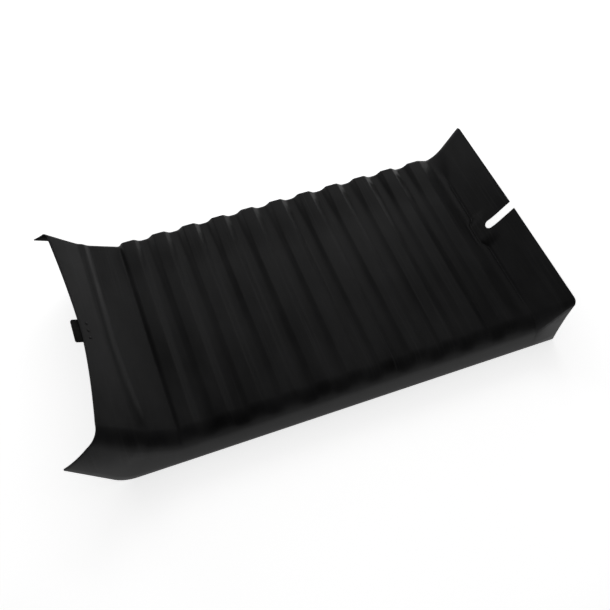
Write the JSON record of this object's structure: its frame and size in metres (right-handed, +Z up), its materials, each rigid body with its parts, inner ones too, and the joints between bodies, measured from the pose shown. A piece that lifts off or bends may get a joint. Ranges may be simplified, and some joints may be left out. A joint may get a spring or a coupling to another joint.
{
  "type": "truck bed liner",
  "caption": "Formed black plastic bed liner: ribbed floor, hanging side skirts, slotted front wall, rear ramp with a rubber tab riveted under its lip.",
  "frame": {"origin": "on the ground, under the middle of the overall box, with the liner standing on the lower edges of its side skirts", "axes": "+X along the bed towards the slotted front wall, +Y across the bed towards the skirt whose rear tip is short, +Z up"},
  "size_m": [2.434, 1.25, 0.38],
  "materials": {
    "black_polyethylene": "black high-density polyethylene sheet, satin, with fine draw lines along the bed",
    "black_rubber": "dull black rubber",
    "zinc_plated_steel": "zinc-plated strip steel, dull bright",
    "blackened_rivet": "black-coated rivet, satin"
  },
  "bodies": {
    "root": {"liner_panel": "black_polyethylene", "rear_tab": "black_rubber", "tab_backing_plate": "zinc_plated_steel", "tab_rivet_1": "blackened_rivet", "tab_rivet_2": "blackened_rivet", "tab_rivet_3": "blackened_rivet"}
  },
  "joints": []
}
